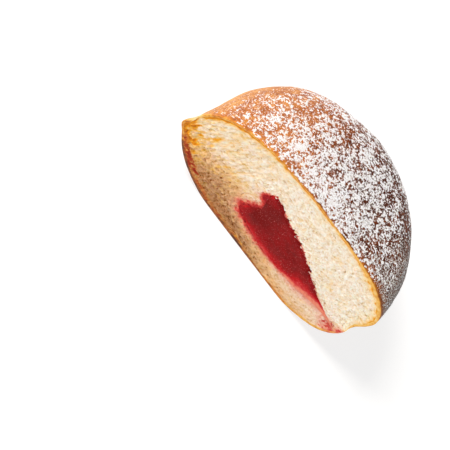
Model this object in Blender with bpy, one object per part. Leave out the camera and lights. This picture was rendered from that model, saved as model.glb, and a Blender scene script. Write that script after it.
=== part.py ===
"""Half of a jelly filled doughnut, standing on its base with the cut face towards -Y.

The body is a swollen round cushion, wider and flatter than a ball, with a faint waist at its widest
level, one shoulder pressed flat and a small fold under the cut.  The jelly lies in a pocket that opens
at the cut: a broad head near the middle, and a tail that thins towards the +X end.

Lengths are in millimetres until they are put into a mesh.  Shapes are worked out about the middle of the
doughnut at its widest level, with +X along the cut, +Y into the body and +Z up; a parent empty then puts
the origin below the middle of the half, on the surface it stands on.
"""

import math
from dataclasses import dataclass

import bmesh
import bpy
import numpy as np

MM = 0.001

# Body
RADIUS = 44.0  # at the widest level
CROWN = 27.2  # widest level to the top
BELLY = 30.3  # widest level to where the underside would reach if it were not flat
FLOOR = 28.0  # widest level to the flat base
CROWN_POWER = 2.67  # 2 is a round shoulder, more is a squarer one
BELLY_POWER = 2.49
BOW = 0.205  # sideways shift towards +X for each millimetre above or below the widest level
BOW_ROUNDING = 3.0

# Waist, where the dough was clear of the frying fat
WAIST_DEPTH = 0.6
WAIST_LEVEL = -3.3
WAIST_REACH = 4.5

# Mesh fineness
SEGMENTS = 96
RINGS = 48

# Jelly, and the pocket that holds it
JELLY_DEPTH = 16.0
JELLY_GAP = 0.3
JELLY_RINGS = 9
JELLY_STEPS = 4  # points on the outline for each landmark
POCKET_OVERRUN = 2.0  # how far the cutter stands out of the cut


@dataclass(frozen=True)
class Dent:
    """A round hollow in the skin, or a rise where its depth is negative."""

    centre: tuple
    depth: float
    spread: float


def shoulder(degrees, depth, spread):
    """A dent just above the widest level, at an angle from the -X end of the cut."""
    reach = RADIUS - WAIST_DEPTH
    turn = math.radians(degrees)
    return Dent((-reach * math.cos(turn), reach * math.sin(turn), 2.0), depth, spread)


DENTS = (
    Dent((-3.5, 0.0, -27.0), 1.4, 3.5),  # fold under the cut
    Dent((-16.0, 0.0, 22.0), 0.6, 4.5),  # dip in the crown
    shoulder(12.0, 2.1, 9.0),  # flat pressed into the -X end
    shoulder(55.0, -1.2, 7.0),  # rise beside it
)

# Outline of the jelly on the cut, as (x, z): round the head, along the underside and back from the tail
JELLY_HEAD = ((1.6, 6.0), (-3.6, 8.3), (-7.8, 9.4), (-8.0, 4.6), (-5.8, -1.8), (-8.1, -7.2), (-8.8, -11.9))
JELLY_UNDERSIDE = ((-3.7, -14.6), (5.2, -16.8), (13.0, -17.1), (21.0, -15.9), (28.1, -13.6))
JELLY_TAIL = ((35.0, -12.0), (40.8, -12.9), (41.2, -12.2), (35.0, -9.8))
JELLY_TOP = ((27.0, -6.5), (19.4, -1.6), (11.0, 3.4))
JELLY_FOCUS = (2.0, -5.5)  # the point that the jelly closes in on at its deepest


def body_points(directions):
    """Points of the skin in the given unit directions, as an array of (x, y, z)."""
    level = directions[:, 2]
    rising = level > 0
    height = np.where(rising, CROWN, BELLY)
    power = np.where(rising, CROWN_POWER, BELLY_POWER)
    round_part = np.hypot(directions[:, 0], directions[:, 1]) / RADIUS
    reach = (round_part**power + (np.abs(level) / height) ** power) ** (-1 / power)
    points = directions * reach[:, None]

    waist = np.exp(-(((points[:, 2] - WAIST_LEVEL) / WAIST_REACH) ** 2))
    points[:, :2] *= (1 - WAIST_DEPTH / RADIUS * waist)[:, None]
    for dent in DENTS:
        centre = np.array(dent.centre)
        away = ((points - centre) ** 2).sum(axis=1)
        pressed = dent.depth * np.exp(-away / (2 * dent.spread**2))
        points *= (1 - pressed / np.linalg.norm(centre))[:, None]

    points[:, 0] += BOW * (np.hypot(points[:, 2], BOW_ROUNDING) - BOW_ROUNDING)
    return points


def slice_flat(shape, point, outward):
    """Cuts away what lies beyond a plane and closes the cut with a flat face."""
    everything = shape.verts[:] + shape.edges[:] + shape.faces[:]
    bmesh.ops.bisect_plane(
        shape, geom=everything, dist=1e-7, plane_co=point, plane_no=outward, clear_outer=True
    )
    rim = [edge for edge in shape.edges if edge.is_boundary]
    bmesh.ops.edgeloop_fill(shape, edges=rim)


def finished_object(name, shape, material):
    """A scene object made from a bmesh, with its faces pointing out and its curved sides smooth."""
    bmesh.ops.recalc_face_normals(shape, faces=shape.faces[:])
    mesh = bpy.data.meshes.new(name)
    shape.to_mesh(mesh)
    shape.free()
    mesh.shade_smooth()
    mesh.set_sharp_from_angle(angle=math.radians(40))
    mesh.materials.append(material)
    made = bpy.data.objects.new(name, mesh)
    bpy.context.scene.collection.objects.link(made)
    return made


def food_material(name, colour, roughness):
    """A plain non-metal surface."""
    material = bpy.data.materials.new(name)
    material.use_nodes = True
    surface = material.node_tree.nodes["Principled BSDF"]
    surface.inputs["Base Color"].default_value = (*colour, 1.0)
    surface.inputs["Roughness"].default_value = roughness
    surface.inputs["Metallic"].default_value = 0.0
    return material


def make_dough():
    """The half body: a ball with its poles along Y, drawn out to the skin, then cut flat twice."""
    shape = bmesh.new()
    bmesh.ops.create_uvsphere(shape, u_segments=SEGMENTS, v_segments=RINGS, radius=1.0)
    for vertex in shape.verts:
        x, y, z = vertex.co
        vertex.co = (x, -z, y)
    directions = np.array([vertex.co.normalized() for vertex in shape.verts])
    for vertex, point in zip(shape.verts, body_points(directions)):
        vertex.co = point * MM
    slice_flat(shape, (0, 0, 0), (0, -1, 0))
    slice_flat(shape, (0, 0, -FLOOR * MM), (0, 0, -1))
    return finished_object("dough", shape, food_material("fried dough", (0.62, 0.30, 0.10), 0.65))


def jelly_outline(swell):
    """Closed curve through the jelly's landmarks, each point moved outwards by swell."""
    landmarks = np.array(JELLY_HEAD + JELLY_UNDERSIDE + JELLY_TAIL + JELLY_TOP)
    before, after, beyond = (np.roll(landmarks, shift, axis=0) for shift in (1, -1, -2))
    steps = []
    for t in np.arange(JELLY_STEPS) / JELLY_STEPS:
        steps.append(
            landmarks
            + 0.5 * t * (after - before)
            + t**2 * (before - 2.5 * landmarks + 2 * after - 0.5 * beyond)
            + t**3 * (1.5 * (landmarks - after) + 0.5 * (beyond - before))
        )
    curve = np.stack(steps, axis=1).reshape(-1, 2)
    along = np.roll(curve, -1, axis=0) - np.roll(curve, 1, axis=0)
    outwards = np.stack([along[:, 1], -along[:, 0]], axis=1)
    return curve + swell * outwards / np.linalg.norm(outwards, axis=1, keepdims=True)


def jelly_shape(swell, overrun):
    """A bulb: the outline at the cut, closing in on the focus as a quarter ellipse goes deeper."""
    outline = jelly_outline(swell)
    focus = np.array(JELLY_FOCUS)
    turns = [math.pi / 2 * ring / JELLY_RINGS for ring in range(JELLY_RINGS)]
    rings = [(math.cos(turn), (JELLY_DEPTH + swell) * math.sin(turn)) for turn in turns]
    if overrun:
        rings.insert(0, (1.0, -overrun))

    shape = bmesh.new()
    loops = []
    for scale, depth in rings:
        ring = focus + scale * (outline - focus)
        loops.append([shape.verts.new((x * MM, depth * MM, z * MM)) for x, z in ring])
    shape.faces.new(loops[0])
    for outer, inner in zip(loops, loops[1:]):
        for i in range(len(outer)):
            shape.faces.new((outer[i - 1], outer[i], inner[i], inner[i - 1]))
    tip = shape.verts.new((focus[0] * MM, (JELLY_DEPTH + swell) * MM, focus[1] * MM))
    for i in range(len(outline)):
        shape.faces.new((loops[-1][i - 1], loops[-1][i], tip))
    return shape


def make_jelly():
    """The filling, flush with the cut."""
    material = food_material("red jelly", (0.30, 0.008, 0.012), 0.25)
    return finished_object("jelly", jelly_shape(0.0, 0.0), material)


def open_pocket(dough):
    """Cuts the jelly's pocket into the dough, a little larger than the jelly all round."""
    cutter = finished_object("pocket", jelly_shape(JELLY_GAP, POCKET_OVERRUN), dough.data.materials[0])
    cutter.hide_render = True
    cutter.display_type = "WIRE"
    pocket = dough.modifiers.new("pocket", "BOOLEAN")
    pocket.operation = "DIFFERENCE"
    pocket.solver = "EXACT"
    pocket.object = cutter
    return cutter


def stand(pieces, body):
    """Parents the pieces to an empty that puts the origin under the middle of the body."""
    points = np.array([vertex.co for vertex in body.data.vertices])
    middle = (points.min(axis=0) + points.max(axis=0)) / 2
    base = bpy.data.objects.new("doughnut_half", None)
    bpy.context.scene.collection.objects.link(base)
    base.location = (-middle[0], -middle[1], FLOOR * MM)
    for piece in pieces:
        piece.parent = base


def main():
    for thing in list(bpy.data.objects):
        bpy.data.objects.remove(thing)
    dough = make_dough()
    jelly = make_jelly()
    cutter = open_pocket(dough)
    stand((dough, jelly, cutter), dough)


main()
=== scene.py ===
"""Looks of half a jelly filled doughnut, standing on its base with the cut towards -Y.

Shapes are worked out in millimetres about the middle of the doughnut at its widest level, with +X along
the cut, +Y into the body and +Z up.  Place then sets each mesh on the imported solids, in metres.
"""

import itertools
import logging
import math
from collections.abc import Callable
from dataclasses import dataclass, field
from enum import Enum
from functools import partial

import bpy
import numpy as np
from mathutils import Matrix, Vector


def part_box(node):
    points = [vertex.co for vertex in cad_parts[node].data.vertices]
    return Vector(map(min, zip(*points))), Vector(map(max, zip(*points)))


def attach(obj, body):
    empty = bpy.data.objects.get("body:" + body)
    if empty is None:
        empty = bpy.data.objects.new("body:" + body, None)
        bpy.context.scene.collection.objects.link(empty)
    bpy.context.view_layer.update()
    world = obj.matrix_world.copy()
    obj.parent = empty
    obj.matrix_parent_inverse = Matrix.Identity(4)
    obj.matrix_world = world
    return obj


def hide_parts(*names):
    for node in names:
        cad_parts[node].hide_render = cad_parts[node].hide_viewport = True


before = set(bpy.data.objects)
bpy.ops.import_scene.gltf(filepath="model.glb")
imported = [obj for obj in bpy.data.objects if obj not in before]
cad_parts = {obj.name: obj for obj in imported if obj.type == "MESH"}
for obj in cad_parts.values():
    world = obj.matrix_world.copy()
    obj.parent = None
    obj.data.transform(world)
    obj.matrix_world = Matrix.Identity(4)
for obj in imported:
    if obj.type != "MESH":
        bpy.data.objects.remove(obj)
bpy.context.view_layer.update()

Array = np.ndarray
Colour = tuple[float, float, float, float]
Socket = bpy.types.NodeSocket
MM = 0.001
TAU = 2 * math.pi
BACKWARD = np.array([[0.0, 1.0, 0.0]])
LOG = logging.getLogger("doughnut")


# ---------------------------------------------------------------------------------------------------------
# Patterns


def ease(values: Array, low: float, high: float | Array) -> Array:
    """Goes from 0 at low to 1 at high, which may be less than low, flat at both ends: t * t * (3 - 2t)."""
    t = np.clip((values - low) / (high - low), 0.0, 1.0)
    return t * t * (3 - 2 * t)


def bell(*offsets: Array) -> Array:
    """A bell of height 1, for offsets measured in its own widths: exp(-(a * a + b * b + ...))."""
    return np.exp(-sum(offset**2 for offset in offsets))


def fade(distance: Array, reach: float | Array) -> Array:
    """Falls from 1 by a factor of e for each reach of distance."""
    return np.exp(-distance / reach)


def unit(vectors: Array) -> Array:
    """Vectors scaled to length 1."""
    return vectors / np.linalg.norm(vectors, axis=-1, keepdims=True)


def cell_luck(cells: Array, seed: int) -> Array:
    """Even random numbers from 0 to 1 for whole-numbered cells, the same on each run.

    Each coordinate is multiplied by a large odd number and mixed in by exclusive or and shifts.

    Args:
        cells: Whole numbers, with the coordinates along the last axis.
        seed: Picks one of many independent sets.

    Returns:
        One number for each cell.
    """
    mixed = np.full(cells.shape[:-1], seed * 7919 + 12345, np.uint32)
    for axis, factor in enumerate((0x85EBCA6B, 0xC2B2AE35, 0x27D4EB2F)[: cells.shape[-1]]):
        mixed ^= cells[..., axis].astype(np.int64).astype(np.uint32) * np.uint32(factor)
        mixed ^= mixed >> np.uint32(15)
        mixed *= np.uint32(0x2C1B3C6D)
        mixed ^= mixed >> np.uint32(12)
    return mixed / 2**32


def soft_noise(points: Array, size: float, seed: int, octaves: int = 1) -> Array:
    """Smooth random hills from -1 to 1: random values at the corners of a lattice, blended between them.

    Args:
        points: Places in millimetres, with 2 or 3 coordinates along the last axis.
        size: Spacing of the widest lattice in millimetres.
        seed: Picks one of many independent patterns.
        octaves: How many layers, each half as wide and half as strong as the last.

    Returns:
        One height for each point.
    """
    total = np.zeros(points.shape[:-1])
    weight = 1.0
    for octave in range(octaves):
        scaled = points / size * 2**octave + 0.37 * octave
        cell = np.floor(scaled)
        t = ease(scaled - cell, 0, 1)
        for corner in itertools.product((0, 1), repeat=points.shape[-1]):
            share = np.where(np.array(corner) == 1, t, 1 - t).prod(axis=-1)
            total += weight * share * (2 * cell_luck(cell + np.array(corner), seed + 31 * octave) - 1)
        weight *= 0.5
    return total / (2 - 2 * weight)


def bubbles(points: Array, size: float, seed: int) -> tuple[Array, Array]:
    """Scattered bubbles, one near the middle of each cell of a lattice.

    Args:
        points: Places in millimetres, with 2 or 3 coordinates along the last axis.
        size: Spacing of the bubbles in millimetres.
        seed: Picks one of many independent patterns.

    Returns:
        The distance to the nearest bubble's middle, in millimetres, and that bubble's own random number.
    """
    scaled = points / size
    home = np.floor(scaled)
    nearest = np.full(points.shape[:-1], np.inf)
    luck = np.zeros(points.shape[:-1])
    for step in itertools.product((-1, 0, 1), repeat=points.shape[-1]):
        cell = home + np.array(step)
        middle = cell + np.stack([cell_luck(cell, seed + axis) for axis in range(points.shape[-1])], axis=-1)
        away = np.linalg.norm(scaled - middle, axis=-1)
        luck = np.where(away < nearest, cell_luck(cell, seed + 11), luck)
        nearest = np.minimum(nearest, away)
    return nearest * size, luck


def distance_to_line(points: Array, line: Array) -> Array:
    """Shortest distance from each point to the corners of a closely spaced line, row by row.

    Args:
        points: Rows of places, as (rows, columns, 2).
        line: Corners of the line, as (n, 2).

    Returns:
        Distances, as (rows, columns).
    """
    return np.stack([np.linalg.norm(row[:, None] - line[None], axis=-1).min(axis=1) for row in points])


def outward(line: Array, reach: int) -> Array:
    """Unit normals of a closed line on the cut, square to the step between points reach before and after."""
    along = np.roll(line, -reach, axis=0) - np.roll(line, reach, axis=0)
    return unit(np.stack([along[:, 1], -along[:, 0]], axis=1))


def set_in(flat: Array, depth: Array) -> Array:
    """Places on the cut, as (x, z), set into the body along +Y by a depth."""
    return np.stack([flat[..., 0], np.broadcast_to(depth, flat.shape[:-1]), flat[..., 1]], axis=-1)


# ---------------------------------------------------------------------------------------------------------
# The doughnut's own form


@dataclass(frozen=True)
class Dent:
    """A round hollow in the skin, or a rise where its depth is negative."""

    centre: tuple[float, float, float]
    depth: float
    spread: float


@dataclass(frozen=True)
class Body:
    """The skin: a swollen round cushion with a faint waist, a dented shoulder and a fold under the cut.

    Dents on the cut are the fold's three, a rise at the -X corner and a dip in the crown.  Those of the
    shoulder are given by their angle from the cut's -X end, depth and spread.
    """

    radius: float = 44.0
    crown: float = 27.2
    belly: float = 30.3
    floor: float = 28.0
    crown_power: float = 2.67
    belly_power: float = 2.49
    bow: float = 0.205
    bow_rounding: float = 3.0
    waist_depth: float = 0.6
    waist_level: float = -3.3
    waist_reach: float = 4.5
    base_rounding: float = 0.4
    swells: float = 0.35
    swell_size: float = 11.0
    wrinkles: float = 0.10
    wrinkle_size: float = 2.2
    sink: float = 0.1
    shoulder_level: float = 2.0
    shoulder_dents: tuple = ((12.0, 2.1, 9.0), (55.0, -1.2, 7.0))
    cut_dents: tuple = (
        Dent((-3.5, 0.0, -27.0), 1.4, 3.5),
        Dent((0.8, 0.0, -27.5), 1.1, 1.3),
        Dent((-6.5, 0.0, -27.0), -1.0, 2.6),
        Dent((-42.6, 0.0, -7.6), -1.8, 2.4),
        Dent((-16.0, 0.0, 22.0), 0.6, 4.5),
    )

    def dents(self) -> tuple[Dent, ...]:
        """The dents on the cut, and then the shoulder's, which lie at the waist's radius."""
        reach = self.radius - self.waist_depth
        shoulders = []
        for degrees, depth, spread in self.shoulder_dents:
            x, y = -reach * math.cos(math.radians(degrees)), reach * math.sin(math.radians(degrees))
            shoulders.append(Dent((x, y, self.shoulder_level), depth, spread))
        return *self.cut_dents, *shoulders

    def skin(self, directions: Array, relief: float = 1.0) -> Array:
        """Points of the skin.

        Along each direction the reach is 1 / (r^n + |z|^n)^(1/n), a rounded box turned about Z.  The waist,
        the dents and the fried surface's soft swells and wrinkles then move points in or out, the part
        below the base is pressed up to it, and the rest leans with height.

        Args:
            directions: Unit directions from the middle, along the last axis.
            relief: How much of the swells and wrinkles to add.

        Returns:
            Places in millimetres, shaped as the directions.
        """
        level = directions[..., 2]
        height = np.where(level > 0, self.crown, self.belly)
        power = np.where(level > 0, self.crown_power, self.belly_power)
        spread = np.hypot(directions[..., 0], directions[..., 1]) / self.radius
        reach = (spread**power + (np.abs(level) / height) ** power) ** (-1 / power)
        points = directions * reach[..., None]

        waist = bell((points[..., 2] - self.waist_level) / self.waist_reach)
        points[..., :2] *= (1 - self.waist_depth / self.radius * waist)[..., None]
        for dent in self.dents():
            centre = np.array(dent.centre)
            away = ((points - centre) ** 2).sum(axis=-1)
            pressed = dent.depth * np.exp(-away / (2 * dent.spread**2))
            points *= (1 - pressed / np.linalg.norm(centre))[..., None]

        lift = self.swells * soft_noise(points, self.swell_size, 3, 2) - self.sink
        lift += self.wrinkles * soft_noise(points, self.wrinkle_size, 5, 2)
        points *= (1 + relief * lift / np.linalg.norm(points, axis=-1))[..., None]
        points[..., 0] += self.bow * (np.hypot(points[..., 2], self.bow_rounding) - self.bow_rounding)
        above = (points[..., 2] + self.floor) / self.base_rounding
        points[..., 2] = self.base_rounding * np.logaddexp(0.0, above) - self.floor
        return points

    def under_skin(self, directions: Array, depth: Array | float) -> Array:
        """The skin's points along directions, moved towards the middle by a depth in millimetres."""
        outer = self.skin(directions)
        return outer * (1 - depth / np.linalg.norm(outer, axis=-1))[..., None]

    def cut_outline(self, turns: Array, relief: float = 1.0) -> Array:
        """The skin where it meets the cut, at angles from +X towards +Z, as (x, z) pairs."""
        directions = np.stack([np.cos(turns), np.zeros_like(turns), np.sin(turns)], axis=-1)
        return self.skin(directions, relief)[..., [0, 2]]


@dataclass(frozen=True)
class Wedge:
    """The jelly on the cut: a broad notched head and a tail that thins towards the crust."""

    notch: tuple = ((1.6, 6.0), (-3.6, 8.3), (-7.8, 9.4), (-8.0, 4.6))
    head: tuple = ((-5.8, -1.8), (-8.1, -7.2), (-8.8, -11.9))
    underside: tuple = ((-3.7, -14.6), (5.2, -16.8), (13.0, -17.1), (21.0, -15.9), (28.1, -13.6))
    tail: tuple = ((35.0, -12.0), (40.8, -12.9), (41.2, -12.2), (35.0, -9.8))
    top: tuple = ((27.0, -6.5), (19.4, -1.6), (11.0, 3.4))
    focus: tuple = (2.0, -5.5)
    depth: float = 16.0

    def outline(self, steps: int = 40) -> Array:
        """A closed Catmull-Rom curve through the landmarks, as (x, z) pairs.

        Args:
            steps: Points for each landmark.

        Returns:
            The curve, as (n, 2).
        """
        marks = np.array(self.notch + self.head + self.underside + self.tail + self.top)
        before, after, beyond = (np.roll(marks, shift, axis=0) for shift in (1, -1, -2))
        t = (np.arange(steps) / steps)[None, :, None]
        before, marks, after, beyond = (part[:, None] for part in (before, marks, after, beyond))
        curve = (
            marks
            + 0.5 * t * (after - before)
            + t**2 * (before - 2.5 * marks + 2 * after - 0.5 * beyond)
            + t**3 * (1.5 * (marks - after) + 0.5 * (beyond - before))
        )
        return curve.reshape(-1, 2)


@dataclass(frozen=True)
class Columns:
    """Lines that fan out over the cut from the jelly's focus, through its edge, to the skin."""

    jelly_edge: Array
    rim: Array
    skin_turn: Array

    @classmethod
    def fan(cls, body: Body, wedge: Wedge, count: int) -> "Columns":
        """Spreads the lines so that both edges are covered evenly.

        Seen from the focus both outlines are distances by bearing.  The lines' density is a constant plus
        how fast each edge runs there, and equal shares of its running total give the bearings.

        Args:
            body: Gives the rim.
            wedge: Gives the jelly's edge.
            count: How many lines.

        Returns:
            The lines, in order of bearing.
        """
        focus = np.array(wedge.focus)
        turns = np.linspace(0, TAU, 4000, endpoint=False)
        fine = np.linspace(0, TAU, 8000, endpoint=False)

        def by_bearing(curve: Array, value: Array) -> Array:
            """A value along a curve, read at the fine bearings."""
            around = np.arctan2(curve[:, 1] - focus[1], curve[:, 0] - focus[0]) % TAU
            order = np.argsort(around)
            return np.interp(fine, around[order], value[order], period=TAU)

        edge, rim = wedge.outline(), body.cut_outline(turns)
        edge_reach = by_bearing(edge, np.linalg.norm(edge - focus, axis=1))
        rim_reach = by_bearing(rim, np.linalg.norm(rim - focus, axis=1))
        ray = np.stack([np.cos(fine), np.sin(fine)], axis=1)
        density = 0.3 / len(fine)
        for reach, weight in ((edge_reach, 0.8), (rim_reach, 1.4)):
            pace = np.linalg.norm(np.gradient(ray * reach[:, None], axis=0), axis=1)
            density = density + weight * pace / pace.sum()
        running = np.concatenate([[0.0], np.cumsum(density)])
        bearing = np.interp(np.arange(count) / count * running[-1], running, np.append(fine, TAU))

        turn_x, turn_z = by_bearing(rim, np.cos(turns)), by_bearing(rim, np.sin(turns))
        reach, along, up = (
            np.interp(bearing, fine, value, period=TAU) for value in (edge_reach, turn_x, turn_z)
        )
        skin_turn = np.arctan2(up, along)
        step = np.stack([np.cos(bearing), np.sin(bearing)], axis=1)
        return cls(focus + step * reach[:, None], body.cut_outline(skin_turn), skin_turn)


# ---------------------------------------------------------------------------------------------------------
# Meshes


@dataclass(frozen=True)
class Place:
    """Where the doughnut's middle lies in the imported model, in metres."""

    middle: Array

    @classmethod
    def on_solid(cls, body: Body) -> "Place":
        """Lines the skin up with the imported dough: middle of its width, the cut's plane and the base."""
        low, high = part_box("dough")
        turns, lifts = np.meshgrid(np.linspace(0, math.pi, 181), np.linspace(-math.pi / 2, math.pi / 2, 181))
        directions = np.stack(
            [np.cos(turns) * np.cos(lifts), np.sin(turns) * np.cos(lifts), np.sin(lifts)], axis=-1
        )
        across = body.skin(directions, relief=0.0)[..., 0]
        middle_x = (low.x + high.x) / 2 - (across.min() + across.max()) / 2 * MM
        return cls(np.array([middle_x, low.y, low.z + body.floor * MM]))

    def metres(self, points: Array) -> Array:
        """Millimetres about the doughnut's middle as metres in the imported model."""
        return points * MM + self.middle


def add_mesh(name: str, points: Array, triangles: Array, material: bpy.types.Material) -> bpy.types.Object:
    """A smooth object made from triangles, which are turned if they enclose a negative volume.

    Args:
        name: The piece's name.
        points: Corners in metres, as (n, 3).
        triangles: Corner numbers, as (m, 3).
        material: The piece's finish.

    Returns:
        The new object, in the scene.
    """
    corners = points[triangles] - points.mean(axis=0)
    if np.linalg.det(corners).sum() < 0:
        triangles = triangles[:, ::-1]
    mesh = bpy.data.meshes.new(name)
    mesh.vertices.add(len(points))
    mesh.vertices.foreach_set("co", points.astype(np.float32).ravel())
    mesh.loops.add(triangles.size)
    mesh.loops.foreach_set("vertex_index", triangles.astype(np.int32).ravel())
    mesh.polygons.add(len(triangles))
    mesh.polygons.foreach_set("loop_start", np.arange(0, triangles.size, 3, dtype=np.int32))
    mesh.update(calc_edges=True)
    mesh.shade_smooth()
    mesh.materials.append(material)
    piece = bpy.data.objects.new(name, mesh)
    bpy.context.scene.collection.objects.link(piece)
    return piece


def sleeve_triangles(rows: int, columns: int) -> Array:
    """Triangles of a closed sleeve: rows of points joined round and end to end, with a tip at each end.

    The points are numbered row by row, then the first row's tip, then the last row's.

    Args:
        rows: How many rows.
        columns: How many points in each row.

    Returns:
        Corner numbers, as (m, 3).
    """
    here = np.arange(rows * columns).reshape(rows, columns)
    beside = np.roll(here, -1, axis=1)
    first = np.full(columns, here.size)
    faces = (
        (here[:-1], beside[:-1], beside[1:]),
        (here[:-1], beside[1:], here[1:]),
        (beside[0], here[0], first),
        (here[-1], beside[-1], first + 1),
    )
    return np.concatenate([np.stack(corners, axis=-1).reshape(-1, 3) for corners in faces])


def write_attribute(piece: bpy.types.Object, name: str, *values: Array | tuple) -> None:
    """Stores one number for each vertex, for the piece's materials to read.

    Args:
        piece: The object.
        name: The attribute's name.
        *values: Blocks of numbers in the order of the vertices.
    """
    stored = piece.data.attributes.new(name, "FLOAT", "POINT")
    stored.data.foreach_set("value", np.concatenate([np.ravel(block) for block in values]).astype(np.float32))


def grid_normals(rows: Array) -> Array:
    """Outward unit normals of a grid closed round its columns, from the cross product of its two steps."""
    along = np.gradient(rows, axis=0)
    around = np.roll(rows, -1, axis=1) - np.roll(rows, 1, axis=1)
    normals = np.cross(along, around)
    normals /= np.linalg.norm(normals, axis=-1, keepdims=True) + 1e-12
    return normals * np.sign((normals * rows).sum(axis=-1).mean())


# ---------------------------------------------------------------------------------------------------------
# Finishes


def hex_colour(code: str) -> Colour:
    """An sRGB hex value as linear red, green, blue and alpha."""
    shares = [int(code[i : i + 2], 16) / 255 for i in (0, 2, 4)]
    red, green, blue = (s / 12.92 if s <= 0.04045 else ((s + 0.055) / 1.055) ** 2.4 for s in shares)
    return red, green, blue, 1.0


def add_node(
    tree: bpy.types.NodeTree, kind: str, inputs: dict | None = None, stops: tuple = (), **settings: object
) -> bpy.types.Node:
    """Adds a node.

    Args:
        tree: The material's or world's node tree.
        kind: The node's type, without its "ShaderNode" beginning.
        inputs: For each input's name or number, a value or the output socket to link.
        stops: For a colour ramp, (position, hex value) pairs.
        **settings: The node's own properties.

    Returns:
        The node.
    """
    node = tree.nodes.new("ShaderNode" + kind)
    for name, value in settings.items():
        setattr(node, name, value)
    for name, value in (inputs or {}).items():
        if isinstance(value, bpy.types.NodeSocket):
            tree.links.new(value, node.inputs[name])
        else:
            node.inputs[name].default_value = value
    if stops:
        elements = node.color_ramp.elements
        while len(elements) < len(stops):
            elements.new(0.5)
        for element, (position, code) in zip(elements, stops):
            element.position = position
            element.color = hex_colour(code)
    return node


def new_material(name: str) -> tuple[bpy.types.Material, Callable[..., bpy.types.Node]]:
    """An empty material, and add_node set to its tree."""
    material = bpy.data.materials.new(name)
    material.use_nodes = True
    material.node_tree.nodes.clear()
    return material, partial(add_node, material.node_tree)


@dataclass(frozen=True)
class FriedCrust:
    """Yeast dough browned in fat: a thin dry skin, orange brown, paler where it was clear of the fat.

    The attribute "bake" gives how brown it is, and partly paints shade: the top of the crown, which shows
    between the sugar, is dark as painted shadow, and the crown is darker towards +X and paler towards -X as
    painted shade.  "dust" gives how much fine sugar clings to it and "leak" how much jelly has run over it.
    "lip" marks its edge on the cut, which shows a clearer gold.  Sugar too fine for a mesh shows as specks in
    the colour, where a noise stands above a level that falls from bare_level by dust_drop.  They are drawn at
    0.45 mm, the least that shows.
    """

    # The dark end of these browns, where bake is high, paints the shade between the sugar and on the +X side.
    browned: tuple = (
        (0.0, "EDCC92"),
        (0.22, "E5B066"),
        (0.42, "D48F42"),
        (0.62, "B0642E"),
        (0.82, "7E4020"),
        (1.0, "55291A"),
    )
    gilded: tuple = ((0.0, "F6D692"), (0.35, "EDB34C"), (0.6, "D07E24"), (0.8, "9E5412"), (1.0, "5C2C0A"))
    sugar: str = "F8F4EE"
    leaked: str = "D2583A"
    mottle_mm: float = 1.6
    mottling: float = 0.6
    speck_mm: float = 0.45
    bare_level: float = 0.80
    dust_drop: float = 0.36
    speck_edge: float = 14.0
    speck_height: float = 1.4
    bump_mm: float = 0.12
    roughness: float = 0.5
    sugar_roughness: float = 0.9

    def material(self) -> bpy.types.Material:
        """Builds the node material."""
        material, add = new_material("fried_crust")
        place = add("TexCoord").outputs["Object"]
        names = ("bake_and_shade", "dust", "leak", "lip")
        bake_and_shade, dust, leak, lip = (add("Attribute", attribute_name=name).outputs["Fac"] for name in names)
        mottle, specks = (
            add("TexNoise", {"Vector": place, "Scale": 1 / (size * MM), "Detail": detail}).outputs["Fac"]
            for size, detail in ((self.mottle_mm, 3.0), (self.speck_mm, 2.0))
        )
        shift = add("Math", {0: mottle, 1: -0.5}, operation="ADD").outputs[0]
        # bake, with mottling, picks the brown, which partly paints shade.
        brown = add("Math", {0: shift, 1: self.mottling, 2: bake_and_shade}, operation="MULTIPLY_ADD").outputs[0]
        colour = add("ValToRGB", {"Fac": brown}, self.browned).outputs["Color"]
        gilt = add("ValToRGB", {"Fac": brown}, self.gilded).outputs["Color"]
        falling = {0: dust, 1: -self.dust_drop, 2: self.bare_level}
        level = add("Math", falling, operation="MULTIPLY_ADD").outputs[0]
        above = add("Math", {0: specks, 1: level}, operation="SUBTRACT").outputs[0]
        cover = add("Math", {0: above, 1: self.speck_edge}, operation="MULTIPLY", use_clamp=True).outputs[0]
        for amount, tint in ((lip, gilt), (leak, hex_colour(self.leaked)), (cover, hex_colour(self.sugar))):
            colour = add("MixRGB", {"Fac": amount, "Color1": colour, "Color2": tint}).outputs["Color"]
        rough = add("MapRange", {"Value": cover, "To Min": self.roughness, "To Max": self.sugar_roughness})
        height = add("Math", {0: cover, 1: self.speck_height, 2: mottle}, operation="MULTIPLY_ADD").outputs[0]
        bump = add("Bump", {"Height": height, "Strength": 0.7, "Distance": self.bump_mm * MM})
        surface = {
            "Base Color": colour,
            "Roughness": rough.outputs["Result"],
            "Normal": bump.outputs["Normal"],
            "IOR": 1.42,
            "Specular IOR Level": 0.3,
        }
        add("OutputMaterial", {"Surface": add("BsdfPrincipled", surface).outputs["BSDF"]})
        return material


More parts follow.
